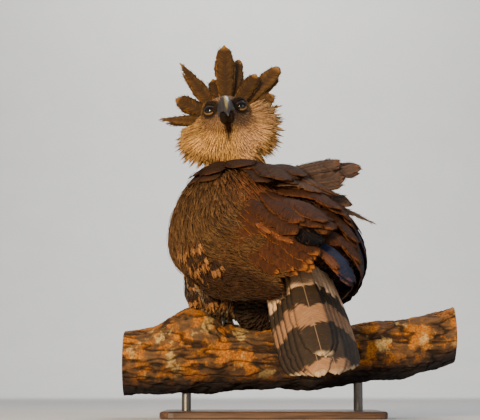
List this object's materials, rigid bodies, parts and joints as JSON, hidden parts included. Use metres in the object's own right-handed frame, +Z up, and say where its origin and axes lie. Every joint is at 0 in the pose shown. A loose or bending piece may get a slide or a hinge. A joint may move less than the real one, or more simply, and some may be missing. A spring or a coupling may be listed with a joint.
{
  "type": "harpy eagle",
  "caption": "Life-size still model of a crested bird of prey, perched on a cut length of limb, seen from behind with its head turned back, on a plain display stand.",
  "frame": {"origin": "middle of the underside of the stand's base board", "axes": "+Z up, +Y the way the bird's back is seen along, so the bird faces +Y and a little to -X, and +X is to the viewer's right"},
  "size_m": [0.635, 0.5713, 0.7682],
  "materials": {
    "face_feathers": "golden buff feathers, matt",
    "body_feathers": "brown feathers, matt",
    "tail_feathers": "buff feathers barred with dark brown, satin",
    "leg_feathers": "pale barred feathers, matt",
    "eye": "dark brown, wet gloss",
    "horn": "dark grey horn, satin",
    "foot_skin": "scaled ochre skin, satin",
    "bark": "rough bark with lichen",
    "stand_board": "black stained board, satin",
    "stand_rod": "brushed"
  },
  "bodies": {
    "root": {"head": "face_feathers", "eye_left": "eye", "eye_right": "eye", "bill_upper": "horn", "bill_lower": "horn", "neck": "face_feathers", "torso": "body_feathers", "wing_left": "body_feathers", "wing_right": "body_feathers", "tail": "tail_feathers", "thigh_left": "leg_feathers", "thigh_right": "leg_feathers", "foot_left": "foot_skin", "foot_right": "foot_skin", "claw_left_inner": "horn", "claw_left_middle": "horn", "claw_left_outer": "horn", "claw_left_rear": "horn", "claw_right_inner": "horn", "claw_right_middle": "horn", "claw_right_outer": "horn", "claw_right_rear": "horn", "perch": "bark", "stand_base": "stand_board", "stand_rod_left": "stand_rod", "stand_rod_right": "stand_rod"}
  },
  "joints": []
}
